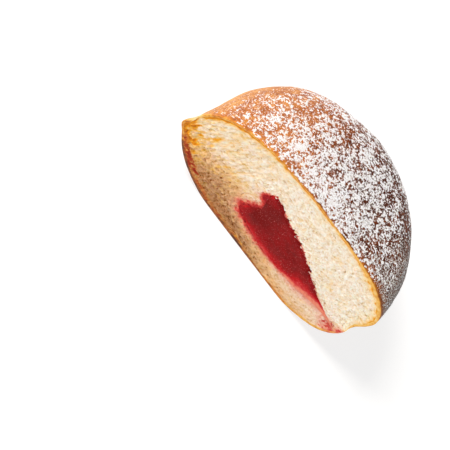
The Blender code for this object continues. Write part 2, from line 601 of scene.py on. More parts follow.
@dataclass(frozen=True)
class SoftCrumb:
    """The torn and cut inside of raised dough: cream foam, matte, which lets a little light through.

    "pore" darkens it with its grain and, as painted shade, in its holes, and "toast" warms it, partly as
    painted shade towards the base.  "fibre" is how far its grain is drawn out into strands.
    "rind" is the crust's edge seen on the cut, "soak" is jelly drawn in, and "smear" is jelly dried brown.
    Each of these three has its colours, and how far the grain sways them.  They cover the foam where they
    pass the first of the cover levels, and hide it at the second.
    """

    foam: tuple = ((0.0, "FFF8EB"), (0.3, "F8E7D2"), (0.6, "E7CAA0"), (1.0, "A87A46"))
    # Multiplied into the foam: partly toasting, partly painted shade towards the base.
    toasted_and_shaded: tuple = ((0.0, "FFFFFF"), (0.5, "ECC8A0"), (1.0, "BC9270"))
    rind: tuple = ((0.0, "F9E0A0"), (0.28, "F8C03E"), (0.55, "E58E12"), (0.8, "B8641A"), (1.0, "6B3514"))
    soaked: tuple = ((0.0, "F3BFA4"), (0.3, "E68A74"), (0.65, "D0423A"), (1.0, "9C161E"))
    smeared: tuple = ((0.0, "DDAA66"), (0.3, "C87A3C"), (0.6, "A83E20"), (1.0, "8A2414"))
    rind_sway: float = 0.75
    soak_sway: float = 0.7
    smear_sway: float = 1.0
    cover_levels: tuple = (0.02, 0.42)
    strand_mm: float = 1.6
    curl: float = 1.6
    fibre_mm: tuple = (0.75, 0.75, 3.2)
    fibre_lean: float = 14.0
    grain_middle: float = 0.42
    grain_depth: float = 1.9
    bump_mm: float = 0.25
    glow_mm: float = 0.7

    def grain(self, add: Callable[..., bpy.types.Node], place: Socket, fibre: Socket) -> Socket:
        """The foam's fine pattern: curled strands, drawn out along one lean where it is fibrous.

        Args:
            add: Adds a node to the material.
            place: Object coordinates.
            fibre: How far the grain is drawn out.

        Returns:
            The pattern, from 0 to 1.
        """
        foamy = {"Vector": place, "Scale": 1 / (self.strand_mm * MM), "Detail": 3.0, "Distortion": self.curl}
        curled = add("TexNoise", {**foamy, "Roughness": 0.6}).outputs["Fac"]
        lean = {
            "Vector": place,
            "Rotation": (0.0, math.radians(self.fibre_lean), 0.0),
            "Scale": tuple(size * MM for size in self.fibre_mm),
        }
        drawn = add("Mapping", lean, vector_type="TEXTURE").outputs["Vector"]
        stringy = {"Vector": drawn, "Scale": 1.0, "Detail": 2.5, "Distortion": 0.5}
        strands = add("TexNoise", {**stringy, "Roughness": 0.6}).outputs["Fac"]
        return add("Mix", {"Factor": fibre, 2: curled, 3: strands}).outputs["Result"]

    def material(self) -> bpy.types.Material:
        """Builds the node material."""
        material, add = new_material("soft_crumb")
        place = add("TexCoord").outputs["Object"]
        names = ("grain_and_pit_shade", "toast_and_shade", "fibre", "rind", "soak", "smear")
        marks = {name: add("Attribute", attribute_name=name).outputs["Fac"] for name in names}
        grain = self.grain(add, place, marks["fibre"])
        # The grain and the pore mark darken the foam; in the holes this is painted shade.
        sway = add("Math", {0: grain, 1: -self.grain_middle}, operation="ADD").outputs[0]
        hollow = {0: sway, 1: self.grain_depth, 2: marks["grain_and_pit_shade"]}
        deep = add("Math", hollow, operation="MULTIPLY_ADD", use_clamp=True).outputs[0]
        foam = add("ValToRGB", {"Fac": deep}, self.foam).outputs["Color"]
        # The toast mark multiplies in warmth, partly painted shade towards the base.
        warmth_and_shade = add("ValToRGB", {"Fac": marks["toast_and_shade"]}, self.toasted_and_shaded).outputs["Color"]
        toasted_and_shaded = {"Fac": 1.0, "Color1": foam, "Color2": warmth_and_shade}
        colour = add("MixRGB", toasted_and_shaded, blend_type="MULTIPLY").outputs["Color"]
        bare, hidden = self.cover_levels
        for name, stops, swayed in (
            ("rind", self.rind, self.rind_sway),
            ("soak", self.soaked, self.soak_sway),
            ("smear", self.smeared, self.smear_sway),
        ):
            amount = add("Math", {0: sway, 1: swayed, 2: marks[name]}, operation="MULTIPLY_ADD").outputs[0]
            tint = add("ValToRGB", {"Fac": amount}, stops).outputs["Color"]
            cover = add("MapRange", {"Value": marks[name], "From Min": bare, "From Max": hidden})
            layers = {"Fac": cover.outputs["Result"], "Color1": colour, "Color2": tint}
            colour = add("MixRGB", layers).outputs["Color"]
        bump = add("Bump", {"Height": grain, "Strength": 0.9, "Distance": self.bump_mm * MM})
        surface = {
            "Base Color": colour,
            "Normal": bump.outputs["Normal"],
            "Roughness": 0.9,
            "Specular IOR Level": 0.15,
            "Subsurface Weight": 0.35,
            "Subsurface Radius": (1.0, 0.6, 0.35),
            "Subsurface Scale": self.glow_mm * MM,
        }
        add("OutputMaterial", {"Surface": add("BsdfPrincipled", surface).outputs["BSDF"]})
        return material


@dataclass(frozen=True)
class SetJelly:
    """Fruit jelly set with pectin, cut through: deep red and clear in the thick, coral where it is thin.

    "thin" gives how thin it lies.  Its cut face is finely grained, and pale specks on it are painted glints,
    drawn at 0.4 mm, the least that shows.
    """

    colours: tuple = ((0.0, "740504"), (0.3, "90060B"), (0.55, "B80A12"), (0.78, "D03838"), (1.0, "E8896C"))
    # The colour of the painted glints.
    painted_glint: str = "E58A84"
    grain_mm: float = 0.9
    graining: float = 0.35
    glint_mm: float = 0.4
    glint_levels: tuple = (0.64, 0.72)
    glint_share: float = 0.45
    bump_mm: float = 0.1
    glow_mm: float = 1.2

    def material(self) -> bpy.types.Material:
        """Builds the node material."""
        material, add = new_material("set_jelly")
        place = add("TexCoord").outputs["Object"]
        thin = add("Attribute", attribute_name="thin").outputs["Fac"]
        grain, fine = (
            add("TexNoise", {"Vector": place, "Scale": 1 / (size * MM), "Detail": detail}).outputs["Fac"]
            for size, detail in ((self.grain_mm, 2.0), (self.glint_mm, 1.0))
        )
        shift = add("Math", {0: grain, 1: -0.5}, operation="ADD").outputs[0]
        amount = add("Math", {0: shift, 1: self.graining, 2: thin}, operation="MULTIPLY_ADD").outputs[0]
        colour = add("ValToRGB", {"Fac": amount}, self.colours).outputs["Color"]
        # Pale specks where the fine noise peaks are painted glints on the cut face.
        low, high = self.glint_levels
        glint = add("MapRange", {"Value": fine, "From Min": low, "From Max": high, "To Max": self.glint_share})
        layers = {"Fac": glint.outputs["Result"], "Color1": colour, "Color2": hex_colour(self.painted_glint)}
        colour = add("MixRGB", layers).outputs["Color"]
        bump = add("Bump", {"Height": grain, "Strength": 0.3, "Distance": self.bump_mm * MM})
        surface = {
            "Base Color": colour,
            "Normal": bump.outputs["Normal"],
            "Roughness": 0.42,
            "Specular IOR Level": 0.03,
            "Subsurface Weight": 0.25,
            "Subsurface Radius": (1.0, 0.2, 0.15),
            "Subsurface Scale": self.glow_mm * MM,
        }
        add("OutputMaterial", {"Surface": add("BsdfPrincipled", surface).outputs["BSDF"]})
        return material


@dataclass(frozen=True)
class IcingSugar:
    """Milled sugar that has caked into crumbs: white and fully matte, a little cool in its shade."""

    colours: tuple = ((0.3, "F1F0F4"), (0.55, "FAFAFD"))
    grain_mm: float = 0.3

    def material(self) -> bpy.types.Material:
        """Builds the node material."""
        material, add = new_material("icing_sugar")
        place = add("TexCoord").outputs["Object"]
        grain = add("TexNoise", {"Vector": place, "Scale": 1 / (self.grain_mm * MM), "Detail": 2.0})
        colour = add("ValToRGB", {"Fac": grain.outputs["Fac"]}, self.colours).outputs["Color"]
        surface = add("BsdfPrincipled", {"Base Color": colour, "Roughness": 0.9, "IOR": 1.3})
        add("OutputMaterial", {"Surface": surface.outputs["BSDF"]})
        return material


# ---------------------------------------------------------------------------------------------------------
# Pieces


def soft_side(flat: Array) -> Array:
    """1 along the jelly's underside and its -X end, where it lies flush and stains, and 0 along its top."""
    x, z = np.moveaxis(flat, -1, 0)
    return np.maximum(ease(z + 0.18 * x, -4, -7), ease(x, -4.5, -7) * ease(z, 7, 3))


@dataclass
class Crust:
    """The fried skin as a closed shell: its outside, a proud rounded lip on the cut, and its inside.

    Its edge on the cut is thick_middle across, changed by the other amounts along the crown, along the
    crown towards +X, on the +X shoulder and under the base, and less at the waist.  The waist's level and
    fade are given for the -X end and for the +X end.
    """

    body: Body
    lines: Columns
    place: Place
    outer_rows: int = 172
    inner_rows: int = 12
    thick_middle: float = 1.1
    thick_crown: float = -0.2
    thick_right: float = 0.35
    thick_shoulder: float = 0.7
    thick_base: float = 0.4
    thick_back: float = 0.9
    waist_share: float = 0.35
    waist_half: float = 2.5
    waist_level: tuple[float, float] = (0.3, -8.0)
    waist_fade: tuple[float, float] = (5.0, 6.5)
    lip_share: tuple = (1.0, 0.86, 0.62, 0.34, 0.12)
    lip_level: tuple = (0.06, 0.0, -0.02, -0.03, -0.02)
    lip_roughness: float = 0.03
    thickness: Array = field(init=False)
    inward: Array = field(init=False)
    outside: Array = field(init=False)

    def __post_init__(self) -> None:
        """Works out the thickness and inward direction at each column, and the outside."""
        self.inward = -outward(self.lines.rim, 5)
        self.thickness = self.rim_thickness()
        swing = np.linspace(0, 1, self.outer_rows + 1)[1:-1]
        self.outside = self.body.skin(self.directions(np.insert(swing, 0, (0.0, 0.002)) * math.pi / 2))

    def directions(self, swing: Array) -> Array:
        """Unit directions that swing each column from its place on the cut towards +Y."""
        turn = self.lines.skin_turn
        level = np.cos(swing)[:, None]
        return set_in(np.stack([np.cos(turn) * level, np.sin(turn) * level], axis=-1), np.sin(swing)[:, None])

    def off_waist(self) -> Array:
        """0 where the rim crosses the pale waist, lower at the +X end, and 1 away from it, at each column."""
        x, z = self.lines.rim.T
        level, fade_end = (np.where(x < 0, *ends) for ends in (self.waist_level, self.waist_fade))
        return ease(np.abs(z - level), self.waist_half, fade_end)

    def rim_thickness(self) -> Array:
        """How thick the crust looks on the cut at each column, in millimetres, with an uneven edge."""
        rim = self.lines.rim
        x, z = rim.T
        shoulder = self.thick_shoulder * ease(x, 22, 32) * ease(z, 12, 18)
        crown = self.thick_right * ease(x, -5, 18) + shoulder + self.thick_crown
        thick = self.thick_middle + ease(z, 0, 8) * crown + self.thick_base * ease(z, -16, -25)
        uneven = 1 + 0.3 * soft_noise(rim, 1.6, 101, 2) + 0.2 * soft_noise(rim, 6.0, 102)
        return thick * (self.waist_share + (1 - self.waist_share) * self.off_waist()) * uneven

    def inner_edge(self, under: float = 0.0) -> Array:
        """Where the crust ends on the cut, as (x, z) pairs, moved a way back under its lip."""
        return self.lines.rim + self.inward * (self.thickness - under)[:, None]

    def lip(self) -> Array:
        """Rows over the cut from the inner edge to the rim, dipping in at the first and standing proud."""
        share = np.array(self.lip_share)[:, None]
        flat = self.lines.rim + self.inward * (self.thickness * share)[..., None]
        rough = self.lip_roughness * soft_noise(flat, 0.9, 103, 2) * (share < share.max())
        return set_in(flat, np.array(self.lip_level)[:, None] + rough)

    def lining(self, swing: Array, gap: float = 0.0) -> Array:
        """Rows behind the outside by the crust's thickness, which evens out towards the back, and a gap."""
        back = np.sin(swing)[:, None] ** 0.5
        thick = self.thickness * (1 - back) + self.thick_back * back + gap
        return self.body.under_skin(self.directions(swing), thick)

    def bake_and_shade(self, points: Array) -> Array:
        """How brown the outside is: pale at the waist, golden above it, brown on the crown and underside.

        The crown is paler towards -X and along the cut at +X, and browner behind.  Part of its darkness is
        painted shade: its dark top, which shows between the sugar, and its turn from pale at -X to dark at
        +X.
        The cut's -X corner is brown.
        """
        x, y, z = np.moveaxis(points, -1, 0)
        level = z + 1.6 * soft_noise(points, 9.0, 131, 2) + 0.5 * soft_noise(points, 1.8, 132)
        above, below, left = ease(level, 0, 5), ease(level, -7, -13), ease(x, 20, -28)
        # The crown darkens upwards and towards +X: partly browning, partly painted shade.
        crown = 0.44 + 0.05 * left + (0.50 - 0.39 * left) * ease(level, 7, 17)
        crown = crown - 0.24 * bell(y / 3) * ease(x, 12, 26)
        crown = crown + 0.12 * ease(y, 4, 16) * ease(x, -26, -6) * ease(x, 24, 8)
        corner = 0.45 * bell((x + 42) / 4, y / 4, (z + 10) / 4.5)
        mottle = 0.14 * soft_noise(points, 2.6, 133, 3) * (above + below)
        return 0.14 * (1 - above) + above * crown + below * 0.55 + corner + mottle

    def lip_bake_and_shade(self, points: Array) -> Array:
        """How brown the lip is: gold, browner at the fold and under the base, where the darkening is partly
        painted shade, and pale at the waist.
        """
        x, z = points[..., 0], points[..., 2]
        # Under the base the lip is darkened, partly browning and partly painted shade.
        under = ease(z, -11, -19)
        gold = 0.52 - 0.16 * ease(x, -10, 25) + under * (0.40 - 0.31 * ease(x, 16, 28))
        gold = gold + np.linspace(-0.10, 0.06, len(points))[:, None] * (1 - 0.7 * under)
        gold = gold + 0.26 * soft_noise(points, 0.9, 134, 3)
        fold = bell((x - 1.4) / 1.8) * ease(z, -15, -20)
        return 0.02 + (gold - 0.02) * self.off_waist() + 0.6 * fold

    def leak(self, points: Array) -> Array:
        """How much jelly has run over the crust where the tail comes out at the +X end."""
        x, y, z = np.moveaxis(points, -1, 0)
        near = ease(x, 34, 38) * ease(z, -19, -15.5) * ease(z, -6, -9.5) * bell(y / 1.2)
        return np.clip(near * (0.75 + 0.9 * soft_noise(points, 1.3, 136, 2)), 0, 0.95)

    def sugar_share(self, points: Array) -> Array:
        """What share of the skin sugar covers, from 0 to 1.

        Sugar lies on what faces up and thins out down to a level above the waist.  That level is higher
        round the -X end.  It is thickest on the ridge along the cut, less at the +X end, and bare in an
        uneven strip and small gaps beside the cut.
        """
        x, y, z = np.moveaxis(points, -1, 0)
        around = np.degrees(np.arctan2(y, x))
        far_end = ease(around, 118, 152)
        near_end = ease(around, 75, 20) * (0.3 + 0.7 * ease(z, 25.5, 21))
        height = (z - 2.5 - 3.5 * far_end) / (12.5 + 5.5 * far_end)
        share = (0.49 - 0.02 * far_end) * ease(height, 0, 1) + 0.10 * ease(z, 20.5, 26)
        ridge = bell(y / 8) * ease(x, -24, -8) * (1 - 0.7 * ease(x, 8, 24)) * ease(z, 12, 19)
        share = share - 0.01 * ease(y, 18, 36) + 0.30 * ridge - 0.38 * near_end
        gaps = ease(soft_noise(points, 2.6, 147, 2), 0.08, 0.45) * fade(y, 5)
        strip = bell(y / 2.4) * ease(x, 20, 27) * (1 + soft_noise(points, 2.0, 148, 2))
        share = share - 0.4 * gaps - 0.32 * strip - 0.03 * ease(x, 16, 34)
        patches = 0.06 * soft_noise(points, 9.0, 143, 2) + 0.13 * soft_noise(points, 3.6, 146)
        share = share + patches * ease(share, 0.05, 0.4)
        return np.clip(share * ease(y + 1.1 * soft_noise(points, 2.2, 142, 2), -0.15, 0.35), 0, 1)

    def lace(self, points: Array, margin: float = 0.0) -> Array:
        """Where sugar lies: connected blots with gaps between, cut from soft noise at the sugar's share.

        Args:
            points: Places on the skin.
            margin: How far the blots draw back from their edges, as a height of the noise.

        Returns:
            1 on a blot and 0 in a gap, with a narrow ramp between.
        """
        share = self.sugar_share(points)
        hills = 0.95 * soft_noise(points, 0.52, 144, 2) + 0.28 * soft_noise(points, 1.7, 145)
        return ease(hills - margin + share - 0.5, -0.04, 0.06) * ease(share, 0.01, 0.06)

    def dust(self, points: Array) -> Array:
        """How much fine sugar clings: most on the lace, and a thin film that is gone at the cut."""
        x, y, z = np.moveaxis(points, -1, 0)
        film = 0.55 * ease(z + 2.0 * soft_noise(points, 5.0, 135, 2), -2, 6)
        film += 0.3 * ease(x, 22, 36) * ease(z, 0, 8)
        film *= ease(y, 0.2, 1.4) * (1 - 0.7 * ease(y, 16, 34))
        return np.maximum(0.7 * self.lace(points) + 0.15, film)

    def build(self, crust: bpy.types.Material) -> bpy.types.Object:
        """Joins the rows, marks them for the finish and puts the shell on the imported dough."""
        lip, outside = self.lip(), self.outside
        inside = self.lining(np.linspace(1, 0.02, self.inner_rows + 1)[1:] * math.pi / 2)
        rows = np.concatenate([inside, lip, outside])
        tips = [self.body.under_skin(BACKWARD, depth) for depth in (self.thick_back, 0.0)]
        points = np.concatenate([rows.reshape(-1, 3), *tips])
        triangles = sleeve_triangles(*rows.shape[:2])
        piece = add_mesh("fried_crust", self.place.metres(points), triangles, crust)
        hidden, plain, none = np.zeros(inside.shape[:2]), np.zeros(lip.shape[:2]), (0.0, 0.0)
        bake_and_shade = self.bake_and_shade(outside)
        edge = fade(np.maximum(outside[..., 1], 0.0), 0.5)
        write_attribute(piece, "bake_and_shade", hidden + 0.5, self.lip_bake_and_shade(lip), bake_and_shade, (0.5, bake_and_shade[-1].mean()))
        write_attribute(piece, "leak", hidden, self.leak(lip), self.leak(outside), none)
        write_attribute(piece, "lip", hidden, plain + 1, edge, none)
        write_attribute(piece, "dust", hidden, plain, self.dust(outside), none)
        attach(piece, "root")
        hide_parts("dough")
        return piece


@dataclass
class Crumb:
    """The soft inside of the dough as one closed surface: pocket, cut face and a plain back in the crust.

    Each kind of pit is a spacing, a depth, the widest radius as a share of the spacing, the share of cells
    that have one, and a seed.  The teeth over the jelly reach in and out by at most teeth_in and teeth_out.
    """

    crust: Crust
    wedge: Wedge
    face_rows: int = 120
    pocket_rows: int = 8
    back_rows: int = 10
    pocket_gap: float = 0.35
    mouth_depth: float = 0.3
    lip_cover: float = 0.2
    crust_gap: float = -0.15
    pit_kinds: tuple = (
        (4.2, 0.60, 0.20, 0.35, 31),
        (1.8, 0.34, 0.34, 0.50, 41),
        (0.95, 0.26, 0.44, 0.70, 51),
    )
    fibre_depth: float = 0.24
    felt_depth: float = 0.22
    wave_depth: float = 0.22
    edge_depth: float = 0.01
    even_share: float = 0.6
    teeth_in: float = 1.2
    teeth_out: float = 0.85

    def pits(self, flat: Array) -> Array:
        """Depth of the foam's holes: a cone raised to 1.3 at each bubble, with noise to bend its rim."""
        bent = flat + 0.5 * np.stack([soft_noise(flat, 1.7, 21), soft_noise(flat, 1.7, 22)], axis=-1)
        total = np.zeros(flat.shape[:2])
        for size, depth, wide, keep, seed in self.pit_kinds:
            away, luck = bubbles(bent, size, seed)
            radius = size * wide * (0.5 + 0.5 * luck)
            total += depth * np.where(luck < keep, np.clip(1 - away / radius, 0, 1) ** 1.3, 0.0)
        return total

    def face(self) -> tuple[Array, dict[str, Array]]:
        """The cut face between jelly and crust.

        Each column runs straight from the jelly's edge to a little under the crust's lip, closer spaced at
        both ends.  The crumb's foam is a height: wide soft waves, pits of three sizes, fine felt, and
        fibres that lean up and to +X near the -X end.

        Returns:
            Points as (rows, columns, 3), and the marks for the crumb's finish.
        """
        share = np.linspace(0, 1, self.face_rows)
        share = self.even_share * share + (1 - self.even_share) * (1 - np.cos(math.pi * share)) / 2
        mouth, end = self.mouth(), self.crust.inner_edge(self.lip_cover)
        flat = mouth + (end - mouth) * share[:, None, None]
        x, z = np.moveaxis(flat, -1, 0)
        from_crust = distance_to_line(flat, self.crust.inner_edge())
        from_jelly = distance_to_line(flat, self.crust.lines.jelly_edge)

        coarse = ease(z + 0.5 * x, -8, -24)
        torn = fade(from_jelly, 3.5) * (1 - soft_side(flat))
        pits = self.pits(flat) * (1 + 0.8 * coarse + 0.9 * torn)
        felt = soft_noise(flat, 0.75, 81, 2) * (1 + 0.8 * coarse)
        grain = np.stack([flat @ (0.25, 0.97) / 3.0, flat @ (0.97, -0.25) / 0.8], axis=-1)
        fibre = 0.15 + 0.7 * ease(x, 0, -26)
        strands = fibre * soft_noise(grain, 1.0, 61, 2)
        settle = ease(from_crust, 0, 1.8) * ease(from_jelly, 0, 0.5)
        waves = self.wave_depth * soft_noise(flat, 9.0, 71, 2)
        foam = pits + self.fibre_depth * strands + self.felt_depth * felt + waves
        depth = self.edge_depth + 0.04 * ease(from_crust, 0, 1) + settle * (foam + 0.06)

        # Towards the base and the -X end the crumb is warmed and darkened, partly real colour and partly
        # painted shade; burnt and scorch darken it further along the crust low down, also partly painted
        # shade.
        toast_and_shade = self.toast_and_shade(flat)
        burnt_and_shaded = ease(z, -14, -22) * ease(x, 18, -6)
        scorch_and_shade = burnt_and_shaded * (fade(from_crust, 2.6) + 0.6 * bell(from_crust / 1.2))
        # pore darkens the pits as painted shade in the holes, and adds the grain's own tone.
        grain_and_pit_shade = (1.1 + 0.9 * toast_and_shade) * pits + 0.3 * strands + 0.2 * felt + 0.14 + 0.4 * scorch_and_shade
        marks = {
            "grain_and_pit_shade": np.clip(grain_and_pit_shade, 0, 1),
            "fibre": fibre,
            "rind": self.rind(flat, from_crust),
            "soak": self.soak(flat, from_jelly, from_crust, pits),
            "smear": self.smear(flat, from_crust),
            "toast_and_shade": np.clip(toast_and_shade + 0.3 * burnt_and_shaded * fade(from_crust, 2.4), 0, 1),
        }
        return set_in(flat, depth), marks

    def mouth(self) -> Array:
        """The pocket's mouth: the jelly's edge with crumb hanging over it in small teeth along the top."""
        edge = self.crust.lines.jelly_edge
        teeth = 1.7 * soft_noise(edge, 0.9, 91, 2) + 0.7 * soft_noise(edge, 2.6, 92)
        upper = 0.15 + 0.85 * (1 - soft_side(edge))
        thick = 0.25 + 0.75 * ease(edge[:, 0], 39, 30)
        shift = np.clip(teeth, -self.teeth_in, self.teeth_out) * upper * thick
        return edge + unit(edge - np.array(self.wedge.focus)) * shift[:, None]

    def rind(self, flat: Array, from_crust: Array) -> Array:
        """How much the crumb takes the crust's colour.

        There is a halo at the lip, a faint veil and blush towards -X, golden streaks at the -X end, a
        deeper patch in its corner, pale just above that, and a brown spot at the fold.
        """
        x, z = np.moveaxis(flat, -1, 0)
        upper = ease(z, 0, 5)
        right = ease(x, 14, 32) * (1 - bell((x - 42) / 6, (z + 9) / 6))
        halo = 0.24 - 0.16 * ease(z, -14, -22) + 0.22 * upper
        halo = halo + 0.14 * upper * ease(x, -10, -30) - 0.1 * right
        halo = halo * fade(from_crust, 0.75 + 0.7 * right) * (1 + 0.5 * soft_noise(flat, 1.3, 115, 2))

        leaning = np.stack([0.97 * x - 0.25 * z, (0.25 * x + 0.97 * z) / 4.0], axis=-1)
        strokes = soft_noise(leaning, 0.9, 113, 2)
        veil = 0.20 * ease(x, 0, -30) * ease(z, -20, -8) * np.clip(0.35 + strokes, 0, 1)
        blush = 0.16 * np.clip(soft_noise(flat, 1.9, 116, 2) + 0.05, 0, 1)
        end = ease(x, -22, -40) * ease(z, 12, -4) * ease(z, -24, -14)
        streaks = end * np.clip(0.16 + 0.34 * strokes, 0, 0.32)
        corner = ease(x, -31, -40) * ease(z, 4, -3) * ease(z, -18, -11)
        deep = 0.56 - 0.28 * ease(z, -11.5, -7.5) - 0.12 * ease(z, -6, 0)
        deep = deep + 0.22 * bell(from_crust / 1.6) * ease(z, -6.5, -9.5)
        deep = corner * np.clip(deep - 0.05 * from_crust + 0.16 * strokes, 0, 1)
        pale = 1 - 0.7 * bell((x + 42) / 5, (z - 2.5) / 3.2)
        gold = np.clip(halo + (veil + blush + streaks + deep) * pale, 0, 0.66)
        fold = np.hypot(x - 1.4, 2.4 * (z + 25.9))
        return gold + 0.9 * np.exp(-((fold / 1.7) ** 4))

    def soak(self, flat: Array, from_jelly: Array, from_crust: Array, pits: Array) -> Array:
        """How much jelly the crumb has drawn in.

        It falls off from the jelly's edge, over 2 mm along its soft side and hardly at all above it, where
        it shows in the nearest pits.  It also tints the crumb by the head and lies in blotches where the
        tail meets the crust.
        """
        x, z = np.moveaxis(flat, -1, 0)
        soft = soft_side(flat)
        cloud = soft_noise(flat, 1.5, 111, 3)
        width = (0.3 + (1.7 + 1.1 * ease(x, 14, 28)) * soft) * (1 + 0.5 * cloud)
        ring = (0.78 - 0.42 * ease(x, 6, 20)) * np.exp(-((from_jelly / width) ** 1.4))
        stained = 1.9 * np.clip(pits, 0, 0.4) * fade(from_jelly, 2)
        tinge = 0.14 * soft * bell(from_jelly / 4) * (1 + cloud) * ease(x, 6, -6)
        tip = 0.7 * bell((x + 9) / 1.4, (z - 5) / 2.8)
        drawn = (ring + stained + tinge + tip) * (1 - 0.35 * ease(x, 28, 38))
        exit_rim = bell(from_crust / 2.4) * ease(x, 35, 38) * ease(z, -20, -17) * ease(z, -6.5, -10)
        patch = np.maximum(bell((x - 40) / 4.2, (z + 14) / 4), 0.9 * exit_rim)
        blots = patch * (0.42 + 0.2 * cloud + 1.1 * np.clip(soft_noise(flat, 1.0, 112, 3) - 0.12, 0, 1))
        return np.clip(np.maximum(drawn, np.clip(blots, 0, 0.6)), 0, 1)

    def smear(self, flat: Array, from_crust: Array) -> Array:
        """Where the cut is dried and browned beside the rim.

        Jelly has dried in broken strokes from the -X end downwards, and a thin band is browned under the
        base.
        """
        x, z = np.moveaxis(flat, -1, 0)
        away = from_crust - 2.0 * ease(z, -14.5, -21.5)
        reach = ease(z, -10, -16.5) * ease(z, -26, -20) * ease(x, -20, -29)
        strokes = (bell(away / 1.8) + 0.25 * bell(away / 3.4)) * (0.6 + 1.1 * soft_noise(flat, 1.4, 114, 3))
        base = ease(z, -13, -20) * ease(x, 20, -4) * bell(from_crust / 1.7)
        browned = base * (0.36 + 0.2 * soft_noise(flat, 1.2, 118, 2)) * (0.7 + 0.3 * ease(x, 4, -12))
        return np.clip(np.maximum(reach * strokes, browned), 0, 0.85)

    def toast_and_shade(self, flat: Array) -> Array:
        """Warmth of the crumb, partly real and partly painted shade: it grows towards the base, sooner at the
        -X end.
        """
        x, z = np.moveaxis(flat, -1, 0)
        depth = -z - 17.0 * ease(x, -16, 22) - 4.5 * ease(x, -16, -32)
        warm = ease(depth, -9, 27) + 0.09 * ease(x, -6, -30) + 0.22 * bell((x + 9) / 9) * ease(z, -19, -26)
        mottle = 0.18 * soft_noise(flat, 3.0, 121, 3) + 0.22 * soft_noise(flat, 1.2, 122, 2)
        return np.clip(1.1 * warm * (1 + mottle), 0, 1)

    def pocket(self) -> Array:
        """The pocket behind the jelly: its mouth closes in on the focus as a quarter ellipse goes deeper."""
        focus = np.array(self.wedge.focus)
        turn = np.linspace(math.pi / 2, 0, self.pocket_rows + 1)[1:, None]
        ring = focus + np.cos(turn)[..., None] * (self.mouth() - focus)
        return set_in(ring, self.mouth_depth + (self.wedge.depth + self.pocket_gap) * np.sin(turn))

    def build(self, crumb: bpy.types.Material) -> bpy.types.Object:
        """Joins the rows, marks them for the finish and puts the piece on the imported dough."""
        pocket, (face, marks) = self.pocket(), self.face()
        back = self.crust.lining(np.linspace(0.025, 1, self.back_rows + 1)[:-1] * math.pi / 2, self.crust_gap)
        rows = np.concatenate([pocket, face, back])
        deepest = set_in(np.array([self.wedge.focus]), self.mouth_depth + self.wedge.depth + self.pocket_gap)
        pole = self.crust.body.under_skin(BACKWARD, self.crust.thick_back + self.crust_gap)
        points = np.concatenate([rows.reshape(-1, 3), deepest, pole])
        triangles = sleeve_triangles(*rows.shape[:2])
        piece = add_mesh("soft_crumb", self.crust.place.metres(points), triangles, crumb)
        for name, values in marks.items():
            wet = 1.0 if name == "soak" else 0.0
            deep = wet * (1 - 0.5 * ease(pocket[..., 0], 26, 36))
            write_attribute(piece, name, deep, values, np.zeros(back.shape[:2]), (wet, 0.0))
        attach(piece, "root")
        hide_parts("dough")
        return piece


